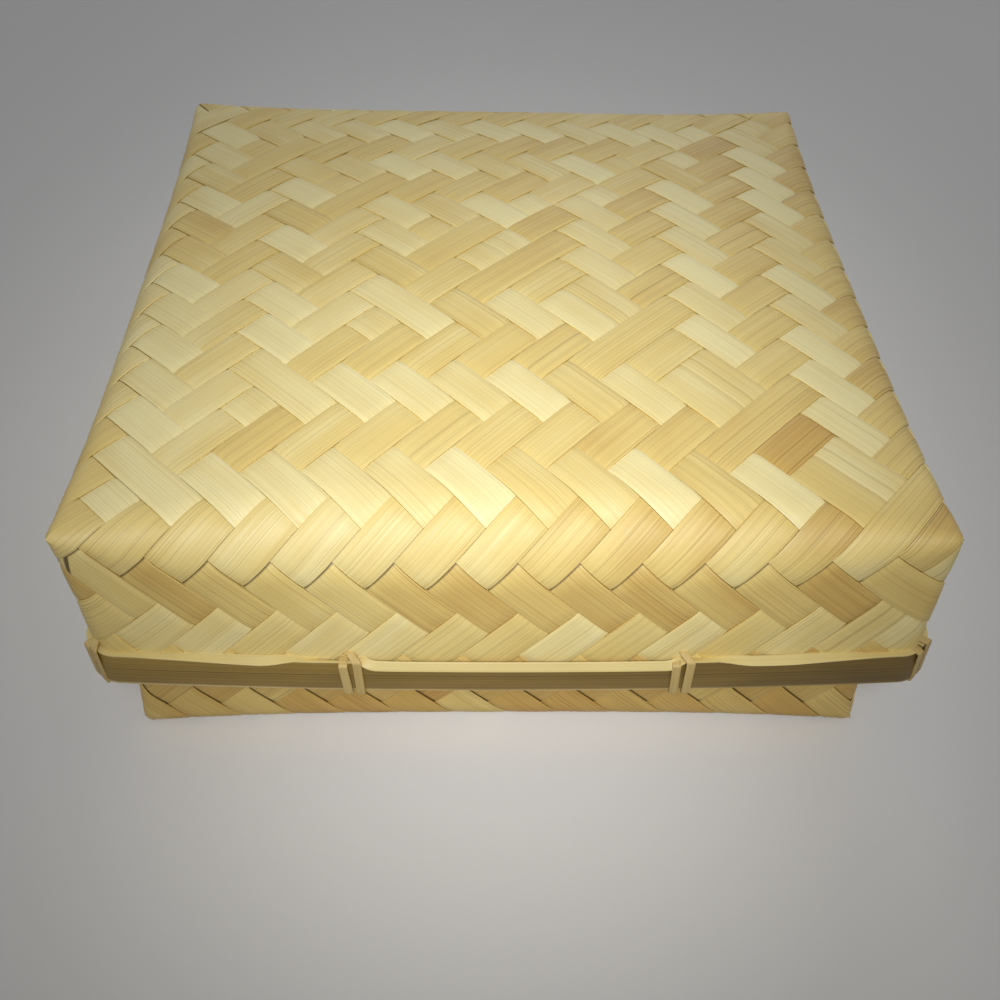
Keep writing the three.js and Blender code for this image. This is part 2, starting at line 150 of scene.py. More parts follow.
class Mat:
    """One half of the box, and where its lattice's points lie on it.

    fold is the folds' height. runs is -1 where the wall runs down from the fold, and 1 where it
    runs up. low and high are the folds' lattice lines, and middle is the lattice point at the
    middle of the roof. step and wall_step are the lattice's steps on the roof and down the wall.
    slips tell how far the weave has slid over each fold. drift is how far to the right the mouth
    has moved, and bow how far the outer band draws in at the corners. over_rows tell which rows,
    counted inwards from each fold, have their rising strips on top.
    """

    def __init__(self, **shape):
        for key, value in shape.items():
            setattr(self, key, value)
        self.low, self.high = np.array(self.low), np.array(self.high)
        self.cells = int(self.high[0] - self.low[0])
        to_high, to_low = self.high - self.middle, self.middle - self.low
        self.fold_cells = [to_low[1], to_high[0], to_high[1], to_low[0]]

    def shoulder(self, side, share):
        widest = by_side(self.shoulders, side)
        return SHARPEST_FOLD + (widest - SHARPEST_FOLD) * (1 - np.abs(share) ** SHOULDER_POWER)

    def slip(self, side, share):
        return by_side(self.slips, side) * (1 - np.abs(share) ** SLIP_POWER)

    def reach(self, radius):
        return self.half - radius * (1 - EIGHTH)

    def corner(self, drop):
        opening = np.sqrt(np.clip(drop, 0, self.depth) / self.depth)
        return SHARPEST_FOLD + (MOUTH_CORNER - SHARPEST_FOLD) * opening

    def outwards(self, share, drop):
        """How far the wall has leant and bellied outwards from the fold."""
        return (self.lean + self.belly * (1 - share ** 2)) * drop / self.depth

    def height(self, drop):
        return self.fold + self.runs * drop

    def drifted(self, points, drop):
        """The points, drawn to the right as far as the whole mouth has drifted at that depth."""
        points[..., 0] += self.drift * drop / self.depth
        return points

    def profile(self, past, radius):
        """How far in and how far down a point lies, at a distance past the bend's middle."""
        turn = np.clip(past / radius, -EIGHTH, EIGHTH) + EIGHTH
        inside = radius * (1 - np.sin(turn)) + np.maximum(0, -past - radius * EIGHTH)
        drop = radius * (1 - np.cos(turn)) + np.maximum(0, past - radius * EIGHTH)
        return inside, drop, turn

    def roof(self, x, y):
        """Points of the outer face, at lattice places inside the folds."""
        cells = [x - self.middle[0], y - self.middle[1]]
        sides = [np.where(cells[0] > 0, 1, 3), np.where(cells[1] > 0, 2, 0)]
        spans = [by_side(self.fold_cells, side) for side in sides]
        shares = [np.clip(c / span, -1, 1) for c, span in zip(cells, spans)]
        places, drops, turns = [], [], []
        for axis in (0, 1):
            side, across = sides[axis], shares[1 - axis]
            radius = self.shoulder(side, across)
            reach = self.reach(radius)
            extra = reach + self.slip(side, across) - self.step * spans[axis]
            laid = self.step * np.abs(cells[axis]) + extra * shares[axis] ** 2
            inside, drop, turn = self.profile(laid - reach, radius)
            out = self.half - inside + self.outwards(across, drop)
            places.append(np.sign(cells[axis]) * out)
            drops.append(drop)
            turns.append(turn)
        swelling = self.rise * np.cos(turns[0]) * np.cos(turns[1])
        for place in places:
            swelling = swelling * np.maximum(0, 1 - (place / self.half) ** 2)
        drop = drops[0] + drops[1]
        return self.drifted(np.stack([*places, self.height(drop - swelling)], axis=-1), drop)

    def wall(self, w, t):
        """Points of the outer face, w cells round from the front left corner, t past the fold."""
        w = np.mod(w, 4 * self.cells)
        side = np.minimum(w // self.cells, 3).astype(int)
        before = by_side(self.fold_cells[3:] + self.fold_cells[:3], side)
        cells = w - side * self.cells - before
        span = np.where(cells < 0, before, self.cells - before)
        share = np.clip(cells / span, -1, 1)
        past = self.slip(side, share) + t * self.wall_step
        inside, drop, _ = self.profile(past, self.shoulder(side, share))
        full = self.reach(SHARPEST_FOLD)
        walk = self.step * cells + (full - self.step * span) * share ** 2 * np.sign(cells)
        half = self.half + self.outwards(share, drop) - inside
        corner = self.corner(drop)
        narrower = full / (half - corner * (1 - EIGHTH)) - 1
        kept = narrower * np.clip(1 - t / EVENS_OUT, 0, 1) ** 2 * (1 - share ** SLIP_POWER)
        points = round_square(side, walk / full * (1 + kept), half, corner, self.height(drop))
        return self.drifted(points, drop)

    def hoop(self, place, drop, outset):
        """Points beside the wall. place counts half sides from the front left corner."""
        side = np.mod(place, HALF_SIDES) // 2
        share = np.mod(place, 2) - 1
        half = self.half + self.outwards(share, drop) + outset
        points = round_square(side, share, half, self.corner(drop) + outset, self.height(drop))
        return self.drifted(points, drop)

    def band_half(self, drop, share):
        """How far out the outer band's inner face lies. It is stiff, and bows only a little."""
        bellied = self.half + (self.lean + self.belly) * drop / self.depth
        return bellied + TOUCH - self.bow * share ** 2

    def band(self, place, drop, outset):
        """Points beside the outer band's inner face."""
        side = np.mod(place, HALF_SIDES) // 2
        share = np.mod(place, 2) - 1
        half = self.band_half(drop, share) + outset
        points = round_square(side, share, half, self.band_corner + outset, self.height(drop))
        return self.drifted(points, drop)


lid_low, lid_high = box_of("lid_woven_mat")
base_low, base_high = box_of("base_woven_mat")
LID_FOLD = lid_high[2] - LID_RISE
ROUNDED_FOLD = 0.1

lid = Mat(
    name="lid", runs=-1, fold=LID_FOLD, depth=LID_FOLD - lid_low[2], rise=LID_RISE,
    half=(lid_high[0] - lid_low[0]) / 2 - LID_FLARE - LID_BELLY, lean=LID_FLARE, belly=LID_BELLY,
    shoulders=[16, 9, 9, 9], slips=[5.0, -0.5, 0.9, 3.6],
    low=(-14, -7), high=(15, 22), middle=(0.80, 7.78), step=6.873, wall_step=7.19,
    outer_band=0.9, band_corner=7, drift=2.1, edge_gap=0.10, bow=2.6,
    over_rows=[(0, 1), (0, 1), (1, 2), (0, 1)],
)
base_half = (base_high[0] - base_low[0]) / 2 + ROUNDED_FOLD
base = Mat(
    name="base", runs=1, fold=0, depth=base_high[2] - base_low[2], rise=0,
    half=base_half, lean=-BASE_DRAW, belly=BASE_BELLY,
    shoulders=[7, 7, 7, 7], slips=[0, 0, 0, 0],
    low=(-13, -13), high=(14, 14), middle=(0.5, 0.5),
    step=base_half / (BASE_CELLS / 2), wall_step=6.97,
    outer_band=1.4, band_corner=9.5, drift=0.4, edge_gap=0.3, bow=0.0,
    over_rows=[(0, 3)] * 4,
)
for mat in (lid, base):
    print(f"{mat.name}: half {mat.half:.2f}, depth {mat.depth:.2f}, fold at {mat.fold:.2f}")

# %% [markdown]
# ## Laying flat strips
#
# Everything on the box is split bamboo, bent but hardly twisted. So each piece starts as a grid
# whose rows are laid along it. It is then given its thickness, and its edges are eased.
#
# Each piece carries its own measure of how far along and across it a point lies, which the grain
# follows. It also carries a tone, which tells how golden it is and, on the weave, holds a painted
# sheen. It also carries how far it shows beside what covers it, which sets a painted shadow.

# %% Laying flat strips
GRAIN_SPREAD = 900
EASED_ANGLE = 50
SMOOTH_ANGLE = 40

# What a piece that nothing covers says of how far it shows.
CLEAR = 9.0


def length_along(points):
    """How far along each row of a grid of points lies, by its middle column."""
    steps = np.linalg.norm(np.diff(points[:, points.shape[1] // 2], axis=0), axis=-1)
    return np.concatenate([[0], np.cumsum(steps)])


def lay_sheet(name, points, across, thickness, ease, offset=0.0, tone=0.5, shown=CLEAR):
    """A sheet whose grid of points is rows by columns, made solid. Returns its object.

    tone and shown are one value, a value for each row, or a value for each point.
    """
    rows, columns = points.shape[:2]
    bpy.ops.mesh.primitive_grid_add(x_subdivisions=columns - 1, y_subdivisions=rows - 1)
    piece = bpy.context.object
    piece.name = name
    mesh = piece.data
    mesh.name = name
    mesh.vertices.foreach_set("co", (points.reshape(-1, 3) * MM).ravel())

    corners = np.zeros(len(mesh.loops), int)
    mesh.loops.foreach_get("vertex_index", corners)
    start = rng.uniform(0, GRAIN_SPREAD, 2)
    along, across = np.broadcast_arrays(length_along(points)[:, None], across)
    measure = np.stack([along.ravel() + start[0], across.ravel() + start[1]], axis=-1)
    layer = mesh.uv_layers[0]
    layer.name = "strip"
    layer.data.foreach_set("uv", measure[corners].ravel())
    for key, values in (("tone", tone), ("shown", shown)):
        values = np.asarray(values, float)
        if values.ndim < 2:
            values = np.reshape(values, (-1, 1))
        values = values + np.zeros((rows, columns))
        mesh.attributes.new(key, "FLOAT", "POINT").data.foreach_set("value", values.ravel())
    mesh.update()

    solid = piece.modifiers.new("thickness", "SOLIDIFY")
    solid.thickness = thickness * MM
    solid.offset = offset
    bpy.ops.object.modifier_apply(modifier=solid.name)
    eased = piece.modifiers.new("eased edges", "BEVEL")
    eased.width = ease * MM
    eased.segments = 2
    eased.angle_limit = math.radians(EASED_ANGLE)
    bpy.ops.object.modifier_apply(modifier=eased.name)
    bpy.ops.object.shade_smooth_by_angle(angle=math.radians(SMOOTH_ANGLE))
    return piece


# %% [markdown]
# ## The weave
#
# The strips run on the bias. Rising strips run from the front left to the back right, and falling
# ones from the back left to the front right. A strip is named by its lattice line: rising ones
# keep Y - X, and falling ones keep X + Y. They cross at whole lattice points.
#
# Each strip goes over two and under two. The twill is turned with the box: counted inwards from
# the nearest fold, the same rows are over all the way round, which makes the squares within
# squares that the lid shows.

# %% The weave
TWILL = 4
COLUMNS = 7
STRIP = 0.32
STRIP_EASE = 0.08
LIFT = 0.43
CROWN = 0.10

# These are in steps of the lattice.
HALF_ZONE = 0.55
ROW = 0.25
TIP = 0.9
SKEW = 3.0
STARTS_INSIDE = 1.5
FARTHEST = 30
FAR_ROW = 0.025


def smooth(share):
    """A share from 0 to 1, made to start and end gently."""
    share = np.clip(share, 0, 1)
    return share * share * (3 - 2 * share)


def lattice(rising, c, m, q):
    """The lattice place of a point m along and q across strip c."""
    if rising:
        return (m - c - q) / 2, (m + c + q) / 2
    return (c + q + m) / 2, (c + q - m) / 2


def unfold(mat, x, y):
    """How far past the folds a lattice place is, how far round, and on which side."""
    past = np.stack([mat.low[1] - y, x - mat.high[0], y - mat.high[1], mat.low[0] - x])
    side = np.argmax(past, axis=0)
    w = np.choose(side, [
        x - mat.low[0],
        mat.cells + y - mat.low[1],
        2 * mat.cells + mat.high[0] - x,
        3 * mat.cells + mat.high[1] - y,
    ])
    return np.max(past, axis=0), w, side


def is_over(mat, rising, c, m):
    """Whether strip c is the upper one where it crosses the strip at m."""
    x, y = lattice(rising, c, m, 0.0)
    t, w, left_by = (float(value) for value in unfold(mat, np.array(x), np.array(y)))
    if t <= 0:
        rows = [y - mat.low[1], mat.high[0] - x, mat.high[1] - y, x - mat.low[0]]
        side = int(np.argmin(rows))
        return (round(rows[side]) % TWILL in mat.over_rows[side]) == rising
    side = int(round(w) % (4 * mat.cells)) // mat.cells
    acts_rising = (rising == (left_by % 2 == 0)) == (side % 2 == 0)
    return (round(-t) % TWILL in mat.over_rows[side]) == acts_rising


def surface(mat, x, y, stay=False):
    """Points and outward normals of the mat's outer face, at lattice places anywhere on it."""
    step = 0.02
    t, w, side = unfold(mat, x, y)
    on_wall = (t > 0)[..., None]
    t = np.maximum(t, 0)
    if stay:
        w = np.clip(w, side * mat.cells, (side + 1) * mat.cells)
    points = np.where(on_wall, mat.wall(w, t), mat.roof(x, y))
    roof_normal = np.cross(mat.roof(x + step, y) - mat.roof(x - step, y),
                           mat.roof(x, y + step) - mat.roof(x, y - step)) * -mat.runs
    wall_normal = np.cross(mat.wall(w + step, t) - mat.wall(w - step, t),
                           mat.wall(w, t + step) - mat.wall(w, t - step)) * mat.runs
    normal = np.where(on_wall, wall_normal, roof_normal)
    return points, normal / np.maximum(np.linalg.norm(normal, axis=-1, keepdims=True), 1e-9)


def strip_end(mat, rising, c, q, start, way):
    """How far along strip c its edge meets the mouth, going one way from the start."""
    m = start + way * np.linspace(0, FARTHEST, round(FARTHEST / FAR_ROW) + 1)
    t, w, _ = unfold(mat, *lattice(rising, c, m, q))
    drop = (mat.wall(w, np.maximum(t, 0))[..., 2] - mat.fold) * mat.runs
    return float(np.interp(mat.depth, np.where(t > 0, drop, 0), m))


def fold_crossing(mat, rising, c):
    """Where the middle of strip c crosses the folds, at both of its ends."""
    if rising:
        return (max(2 * mat.low[0] + c, 2 * mat.low[1] - c),
                min(2 * mat.high[0] + c, 2 * mat.high[1] - c))
    return (max(2 * mat.low[0] - c, c - 2 * mat.high[1]),
            min(2 * mat.high[0] - c, c - 2 * mat.low[1]))


def crossings(mat, rising, c, m):
    """Where strip c crosses others, past both ends of m, and whether it's the upper one there."""
    first = math.floor(m.min()) - 3
    first += 1 - first % 2
    centres = np.arange(first, math.ceil(m.max()) + 4, 2)
    return centres, np.array([is_over(mat, rising, c, int(k)) for k in centres])


def heights(centres, over, m):
    """How high the strip lies above the mat's middle face, at each m."""
    states = np.where(over, 1.0, -1.0)
    index = np.clip(np.floor((m - centres[0] + 1) / 2).astype(int), 1, len(centres) - 2)
    centre, state = centres[index], states[index]
    before = smooth((m - (centre - 1) + HALF_ZONE) / (2 * HALF_ZONE))
    after = smooth((m - (centre + 1) + HALF_ZONE) / (2 * HALF_ZONE))
    return LIFT * np.where(
        m < centre,
        states[index - 1] + (state - states[index - 1]) * before,
        state + (states[index + 1] - state) * after,
    )


# %% [markdown]
# A strip's tone holds a painted sheen: it is painted paler or more golden by the way that its fibres
# lean to the light. On the roof the falling strips are painted pale. Past a fold the pale ones are
# those that lean the other way. Each length between two crossings also has a tone of its own.
#
# Where a strip comes out from under another, a painted shadow darkens it in a thin line. These
# painted shadow lines are widest where the folds have eased the weave open. All their widths are in
# millimetres.

# %% Tones, painted sheen and painted shadows of the weave
# Painted sheen: tones by the way a strip's fibres lean, on the roof and past a fold.
ROOF_SHEEN_TONES = {True: 0.50, False: 0.20}
RIGHT_TONES = {True: 0.20, False: 0.0}
WALL_SHEEN_TONES = {True: 0.34, False: 0.72}
FOLD_BLEND = 2
BASE_TONE = 0.92
# Widths and strength of the painted shadow lines beside covering strips.
SLIT_SHADOW_WIDTH = 0.03
FOLD_SLIT_SHADOWS = {True: 0.15, False: 1.0}
FOLD_SLIT_SHADOW_AT = 0.2
FOLD_SLIT_SHADOW_REACH = 1.1
BASE_SLIT_SHADOW = 0.9
STRIP_SPREAD = 0.08
FLOAT_SPREAD = 0.09


def tones_and_sheen(mat, rising, centres, over, m, x, y):
    """The tone of each row of a strip, with the painted sheen of its fibres. A float's own tone
    changes where the strip is hidden.
    """
    surfaces = np.flatnonzero(over[1:] & ~over[:-1])
    number = np.searchsorted(centres[surfaces], m)
    own = rng.normal(0, FLOAT_SPREAD, len(centres))[number] + rng.normal(0, STRIP_SPREAD)
    t, _, side = unfold(mat, x, y)
    leans_right = (rising == (side % 2 == 0)) == (mat.runs < 0)
    on_wall = np.where(leans_right, WALL_SHEEN_TONES[True], WALL_SHEEN_TONES[False])
    share = smooth(t / FOLD_BLEND + 0.5)
    to_right = np.clip((x - mat.middle[0]) / mat.cells * 2, -1, 1)
    on_roof = ROOF_SHEEN_TONES[rising] + RIGHT_TONES[rising] * to_right
    tone = on_roof + (on_wall - on_roof) * share
    return own + (tone if mat.runs < 0 else BASE_TONE)


def showing(mat, rising, centres, over, m, x, y):
    """How far each row lies from the nearest strip that covers this one, in widths of its painted
    shadow line.
    """
    edges = centres[1:][over[1:] != over[:-1]] - 1
    far = np.min(np.abs(m - edges), axis=1, keepdims=True) * mat.step / math.sqrt(2)
    t, _, side = unfold(mat, x, y)
    leans_right = (rising == (side % 2 == 0)) == (mat.runs < 0)
    if mat.runs < 0:
        by_fold = np.exp(-((t - FOLD_SLIT_SHADOW_AT) / FOLD_SLIT_SHADOW_REACH) ** 2)
        slit_shadow = SLIT_SHADOW_WIDTH + np.where(leans_right, FOLD_SLIT_SHADOWS[True], FOLD_SLIT_SHADOWS[False]) * by_fold
    else:
        slit_shadow = np.where(leans_right, BASE_SLIT_SHADOW, SLIT_SHADOW_WIDTH) + 0 * t
    index = np.clip(np.floor((m - centres[0] + 1) / 2).astype(int), 0, len(centres) - 1)
    return np.where(over[index], far, -far) / slit_shadow


def ends_of(mat, rising, c, q, middle, outer, low, high):
    """Where each column of strip c meets the mouth, at both ends."""
    ends = []
    for way, fold in ((-1, low), (1, high)):
        starts = [middle + way * abs(column) * (np.sign(column) == outer) if outer
                  else fold - way * STARTS_INSIDE for column in q]
        ends.append([strip_end(mat, rising, c, column, start, way)
                     for column, start in zip(q, starts)])
    return np.array(ends)


def strip_points(mat, rising, c):
    """The grid of points of strip c, how far across it each one lies, its tones and its showing."""
    width = 2 * mat.step / math.sqrt(2)
    q_edge = 1 - mat.edge_gap / width
    q = np.linspace(-q_edge, q_edge, COLUMNS) * mat.runs
    low, high = fold_crossing(mat, rising, c)
    if rising:
        last_lines = [mat.low[1] - mat.high[0], mat.high[1] - mat.low[0]]
        diagonal = mat.high[1] - mat.high[0]
    else:
        last_lines = [mat.low[0] + mat.low[1], mat.high[0] + mat.high[1]]
        diagonal = mat.high[0] + mat.low[1]

    if c == diagonal:
        count = int(round((high - low + 2 * TIP) / ROW)) + 1
        m = np.linspace(low - TIP, high + TIP, count)[:, None] + 0 * q
    else:
        middle = (low + high) / 2
        outer = {last_lines[0]: -1, last_lines[1]: 1}.get(c, 0)
        ends = ends_of(mat, rising, c, q, middle, outer, low, high)
        first, last = ends[:, COLUMNS // 2]
        m = np.linspace(first, last, int(round((last - first) / ROW)) + 1)[:, None] + 0 * q
        blend = min(SKEW, (last - first) / 2)
        for columns, end in zip(ends, (first, last)):
            m = m + (columns - end) * smooth(1 - np.abs(m - end) / blend)
        if outer:
            away = m - middle
            skewed = np.where(np.sign(q) == outer, np.abs(q), 0)
            m = m + np.where(away < 0, -1, 1) * skewed * smooth(1 - np.abs(away) / blend)

    x, y = lattice(rising, c, m, q)
    points, normal = surface(mat, x, y, stay=c == diagonal)
    centres, over = crossings(mat, rising, c, m)
    height = heights(centres, over, m) + CROWN * (1 - (q / q_edge) ** 2) - MAT / 2
    points = points + normal * height[..., None]
    row = np.array([COLUMNS // 2])
    rows = (mat, rising, centres, over, m[:, row], x[:, row], y[:, row])
    return points, q * width / 2, tones_and_sheen(*rows), showing(*rows)


# %% Weave both mats
def strip_lines(mat, rising):
    """The lattice lines of the strips that run one way."""
    if rising:
        low, high = mat.low[1] - mat.high[0], mat.high[1] - mat.low[0]
    else:
        low, high = mat.low[0] + mat.low[1], mat.high[0] + mat.high[1]
    return range(int(low + (low + 1) % 2), int(high) + 1, 2)


strips = []
for mat in (base, lid):
    for kind, rising in (("rising", True), ("falling", False)):
        lines = strip_lines(mat, rising)
        for number, c in enumerate(lines, 1):
            points, across, tone, shown = strip_points(mat, rising, c)
            piece = lay_sheet(f"{mat.name}_{kind}_strip_{number:02d}", points, across,
                              STRIP, STRIP_EASE, tone=tone, shown=shown)
            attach(piece, mat.name)
            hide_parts(f"{mat.name}_woven_mat")
            strips.append(piece)
        print(f"Wove {len(lines)} {kind} strips of the {mat.name}")

# %% [markdown]
# ## Bands
#
# Each mouth is stiffened by two bands, one outside the mat and one inside it. The outer one is
# split from the outside of the culm, so it keeps its bark and the culm's slight roundness. A band
# is one length, and its two ends are cut to a long slant where they meet.

# %% Bands
BAND_HEIGHT = 9.6
BAND_CROWN = 0.3
INNER_BAND = 2.2
INNER_SHOWING = 1
SCARF_LAP = 24
SCARF_GAP = 0.3
SCARF_REACH = 0.8
FACE_COLUMNS = 9
BACK_COLUMNS = 5
BAND_EASE = 0.25
BARK_TONE = 0.95
SPLIT_TONE = 0.5
CUT_EDGE_TONE = -0.2
DARKER_RIGHT = 0.3

# Half sides are walked in even steps up to the bend, and then in shorter ones.
BEND_STARTS = 0.8
STEPS_BEFORE_BEND = 30
STEPS_IN_BEND = 22
LEAST_STEP = 0.02


def places_round(start):
    """Places once round the rim from a start, closest together at the corners."""
    half_side = np.concatenate([np.linspace(0, BEND_STARTS, STEPS_BEFORE_BEND)[:-1],
                                np.linspace(BEND_STARTS, 1, STEPS_IN_BEND)])
    side = np.concatenate([-half_side[::-1], half_side[1:-1]]) + 1
    places = np.concatenate([side + 2 * number for number in range(HALF_SIDES)])
    end = start + HALF_SIDES
    inside = (places > start + LEAST_STEP) & (places < end - LEAST_STEP)
    return np.concatenate([[start], places[inside], [end]])


def lay_band(mat, name, node, point, top, bottom, face, thickness, crown, side, columns, tone):
    """A band round the mouth, whose face is at an outset and whose ends meet on a side.

    It is darker to the right, and its cut lower edge is pale.
    """
    places = places_round(2 * side + 1.0)
    share = np.linspace(0, 1, columns)
    near_end = np.minimum(places - places[0], places[-1] - places)
    slanted = smooth(1 - near_end / SCARF_REACH)[:, None] * SCARF_LAP / mat.half
    place = places[:, None] + slanted * (share - 0.5)
    gap = SCARF_GAP / mat.half / 2
    place[[0, -1]] += [[gap], [-gap]]
    drop = top + (bottom - top) * share + 0 * place
    points = point(place, drop, face + crown * (1 - (2 * share - 1) ** 2) + 0 * place)
    to_right = DARKER_RIGHT * points[..., :1, 0] / mat.half
    tone = tone + to_right - (tone - CUT_EDGE_TONE) * (share == 1)
    if mat.runs > 0:
        points, drop, tone = points[:, ::-1], drop[:, ::-1], tone[:, ::-1]
    piece = lay_sheet(name, points, drop, thickness, BAND_EASE, offset=-1, tone=tone)
    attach(piece, mat.name)
    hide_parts(node)
    return piece


bark_bands = []
inner_bands = []
for mat in (lid, base):
    band_end = mat.depth - INNER_SHOWING
    piece = lay_band(mat, f"{mat.name}_bark_band", f"{mat.name}_rim_outer_band", mat.band,
                     band_end - BAND_HEIGHT, band_end, mat.outer_band, mat.outer_band, BAND_CROWN,
                     SIDES.index("back"), FACE_COLUMNS, BARK_TONE)
    bark_bands.append(piece)
    piece = lay_band(mat, f"{mat.name}_inner_band", f"{mat.name}_rim_inner_band", mat.hoop,
                     mat.depth - BAND_HEIGHT, mat.depth, -MAT - TOUCH, INNER_BAND, 0,
                     SIDES.index("left"), BACK_COLUMNS, SPLIT_TONE)
    inner_bands.append(piece)
print("Laid", len(bark_bands) + len(inner_bands), "bands")

# %% [markdown]
# ## Binding strip
#
# One thin strip runs along the top edge of the outer band. It lies flat on that edge at the
# corners, and between the ties it leans out over it. Beside a tie it twists, and tips inwards.

# %% Runners
TIES = [-38.3, 40.4]
RUNNER_STRIP = 0.4
RUNNER_EASE = 0.1
RUNNER_CORNER = 9
RUNNER_END = 0.997
RUNNER_STEPS = 240
RUNNER_COLUMNS = 5
EASE_STEPS = 3

# At each lean: how wide the runner looks, and how far its outer edge lies past the band's face.
TIPPED = -0.5
LEANS = [TIPPED, 0, 1]
LEAN_WIDTHS = [1.1, 2.6, 2.4]
LEAN_OUTER_ENDS = [0.5, 0.2, 1.7]
FULL_LEAN = 0.95

bindings = []


def finish_binding(piece, mat, node):
    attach(piece, mat.name)
    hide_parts(node)
    bindings.append(piece)


def runner_lean(mat, along):
    """How far the runner leans: 1 outwards over the edge, 0 flat on it, below 0 tipped inwards."""
    end = mat.half - RUNNER_CORNER
    first, second = TIES
    # Places along the side, and the lean at each.
    turns = [(-end, 0), (-end + 26, 0.5), (first - 20, 0.6), (first - 9, TIPPED), (first, TIPPED),
             (first + 3, 0.9), (first + 8, 1), (second - 1, 1), (second + 2, TIPPED),
             (second + 4, TIPPED), (second + 16, 0.6), (second + 26, 0.6), (end, 0)]
    places, leans = zip(*turns)
    return np.interp(along, places, leans)


for mat in (lid, base):
    edge_drop = mat.depth - INNER_SHOWING - BAND_HEIGHT
    for side, side_name in enumerate(SIDES):
        share = np.linspace(-RUNNER_END, RUNNER_END, RUNNER_STEPS + 1)[:, None]
        half = mat.band_half(edge_drop, share) + mat.outer_band
        lean = np.pad(runner_lean(mat, share * half)[:, 0], EASE_STEPS, "edge")
        window = 2 * EASE_STEPS + 1
        lean = np.convolve(lean, np.ones(window) / window, "valid")[:, None]
        angle = FULL_LEAN * lean
        width = np.interp(lean, LEANS, LEAN_WIDTHS)
        across = np.interp(lean, LEANS, LEAN_OUTER_ENDS) + width * np.linspace(-1, 0, RUNNER_COLUMNS)
        lift = TOUCH / 2 + RUNNER_STRIP / 2
        drop = edge_drop + across * np.sin(angle) - lift * np.cos(angle)
        outset = mat.outer_band + across * np.cos(angle) + lift * np.sin(angle)
        points = mat.band(share + 2 * side + 1 + 0 * drop, drop, outset)
        if mat.runs < 0:
            points, across = points[:, ::-1], across[:, ::-1]
        piece = lay_sheet(f"{mat.name}_binding_{side_name}", points, across, RUNNER_STRIP,
                          RUNNER_EASE)
        finish_binding(piece, mat, f"{mat.name}_runner_{side_name}")

# %% [markdown]
# At each tie the strip goes twice round the rim, through the weave.
# The second turn passes higher than the first.

# %% Lashings
LASH = 0.5
LASH_WIDTH = 2.1
LASH_COLUMNS = 4
LASH_EASE = 0.1
LASH_TONE = 0.85
BEND = 0.5
BEND_COUNT = 6
SLANT = 0.2
CORNER_TIE_INSET = 1.6
CORNER_TIE_SINKS = 2.2
BEHIND_BAND = 0.6
TUCK = 0.8

# Each turn's height above the band's edge inside and outside, and how far aside it lies at the
# hole, at the top and at the bottom.
TURNS = [(0.5, 0.3, -1.5, -1.7, -1.45), (2.6, 1.5, 0.0, 1.7, 1.45)]


def rounded_path(corners, radius, count):
    """A path through corners, each eased into a short curve. Corners are rows of coordinates."""
    path = [corners[0]]
    for before, corner, after in zip(corners, corners[1:], corners[2:]):
        enter = corner + radius * (before - corner) / np.linalg.norm(before - corner)
        leave = corner + radius * (after - corner) / np.linalg.norm(after - corner)
        for share in np.linspace(0, 1, count):
            path.append((1 - share) ** 2 * enter + 2 * share * (1 - share) * corner
                        + share ** 2 * leave)
    return np.array(path + [corners[-1]])


def lay_lashing(mat, name, side, along, slant):
    """A lashing of two turns, at a place along a side, or at its right corner if along is None."""
    edge_drop = mat.depth - INNER_SHOWING - BAND_HEIGHT
    low_drop = mat.depth + TOUCH + LASH / 2
    middle = (edge_drop + mat.depth) / 2
    share = 1.0 if along is None else along / mat.half
    face = mat.band_half(middle, share) + mat.outer_band + BAND_CROWN + TOUCH + LASH / 2
    inset = MAT + TOUCH + INNER_BAND + TOUCH + LASH / 2
    if along is None:
        wall = mat.corner(middle)
        near = ((mat.half + mat.outwards(1.0, middle) - wall) * math.sqrt(2) + wall) - inset
        near -= CORNER_TIE_INSET
        bend = mat.band_corner + mat.outer_band + CORNER_TIE_SINKS
        far = face * math.sqrt(2) - bend * (math.sqrt(2) - 1)
        centre, turn = 0.0, (side + 0.5) * math.pi / 2
    else:
        near = mat.half + mat.outwards(along / mat.half, middle) - inset
        far, centre, turn = face, along, side * math.pi / 2
    wall_face = far - TOUCH - mat.outer_band - BAND_CROWN - TOUCH - BEHIND_BAND
    corners = []
    for hole, top, hole_aside, top_aside, low_aside in TURNS:
        low_aside += SLANT * slant
        corners += [(near, edge_drop - hole, hole_aside), (wall_face, edge_drop - hole, hole_aside),
                    (far, edge_drop - top, top_aside), (far, low_drop - TUCK, low_aside),
                    (near, low_drop, low_aside)]
    corners.append((near, edge_drop, 0.0))
    path = rounded_path(np.array(corners), BEND, BEND_COUNT)
    aside = centre + path[:, 2:] + LASH_WIDTH * np.linspace(-0.5, 0.5, LASH_COLUMNS)
    away, drop = path[:, :1] + 0 * aside, path[:, 1:2] + 0 * aside
    points = np.stack([aside * math.cos(turn) + away * math.sin(turn),
                       aside * math.sin(turn) - away * math.cos(turn),
                       mat.height(drop)], axis=-1)
    points = mat.drifted(points, drop)
    across = aside - centre
    if mat.runs < 0:
        points, across = points[:, ::-1], across[:, ::-1]
    piece = lay_sheet(f"{mat.name}_tie_{name}", points, across, LASH, LASH_EASE, tone=LASH_TONE)
    finish_binding(piece, mat, f"{mat.name}_lashing_{name}")


for mat in (lid, base):
    for side, side_name in enumerate(SIDES):
        lay_lashing(mat, f"{side_name}_1", side, TIES[0], 1)
        lay_lashing(mat, f"{side_name}_2", side, TIES[1], -1)
        lay_lashing(mat, CORNERS[side], side, None, 1)
print("Laid", len(bindings), "lengths of binding strip")

# %% [markdown]
# ## Materials
#
# Fresh split bamboo is pale straw, with fine straight fibres that run its whole length. Some are
# dark. It turns golden as it dries, and does so unevenly. The bark is olive-brown.

# %% Shader helpers


